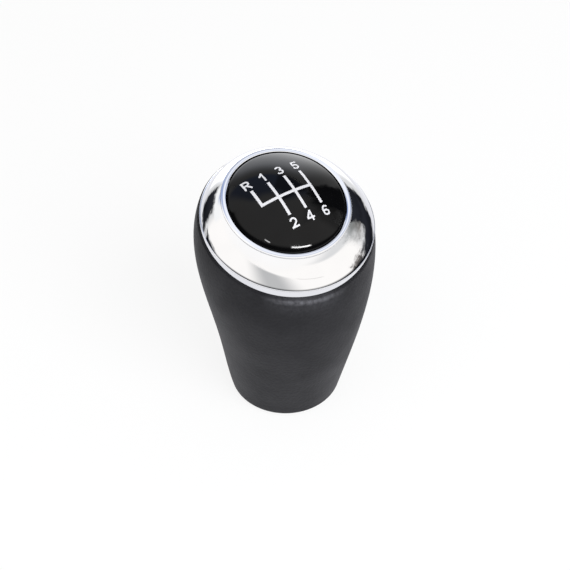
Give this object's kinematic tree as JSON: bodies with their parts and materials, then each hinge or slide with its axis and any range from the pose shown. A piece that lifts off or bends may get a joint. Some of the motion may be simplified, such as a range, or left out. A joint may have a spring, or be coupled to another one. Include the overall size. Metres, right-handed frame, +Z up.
{
  "type": "gear shift knob",
  "caption": "Gear shift knob: soft tapered grip, head leaning back, bright trim ring, domed black cap printed with the shift gate, and a blind threaded insert for the lever.",
  "frame": {"origin": "middle of the foot, on the axis of the lever's thread, in the plane that the knob stands on", "axes": "+Z up the gear lever, +Y forward (towards the top of the printed gate), +X to the right"},
  "size_m": [0.0502, 0.0489, 0.0746],
  "materials": {
    "grip_skin": "leather-look moulded polyurethane, fine grain, semi-matt",
    "core_plastic": "moulded, lightly textured",
    "insert_metal": "turned",
    "ring_plating": "bright plated, polished",
    "cap_gloss": "high gloss with a white printed gate"
  },
  "bodies": {
    "root": {"grip": "grip_skin", "core": "core_plastic", "thread_insert": "insert_metal", "trim_ring": "ring_plating", "shift_cap": "cap_gloss"}
  },
  "joints": []
}
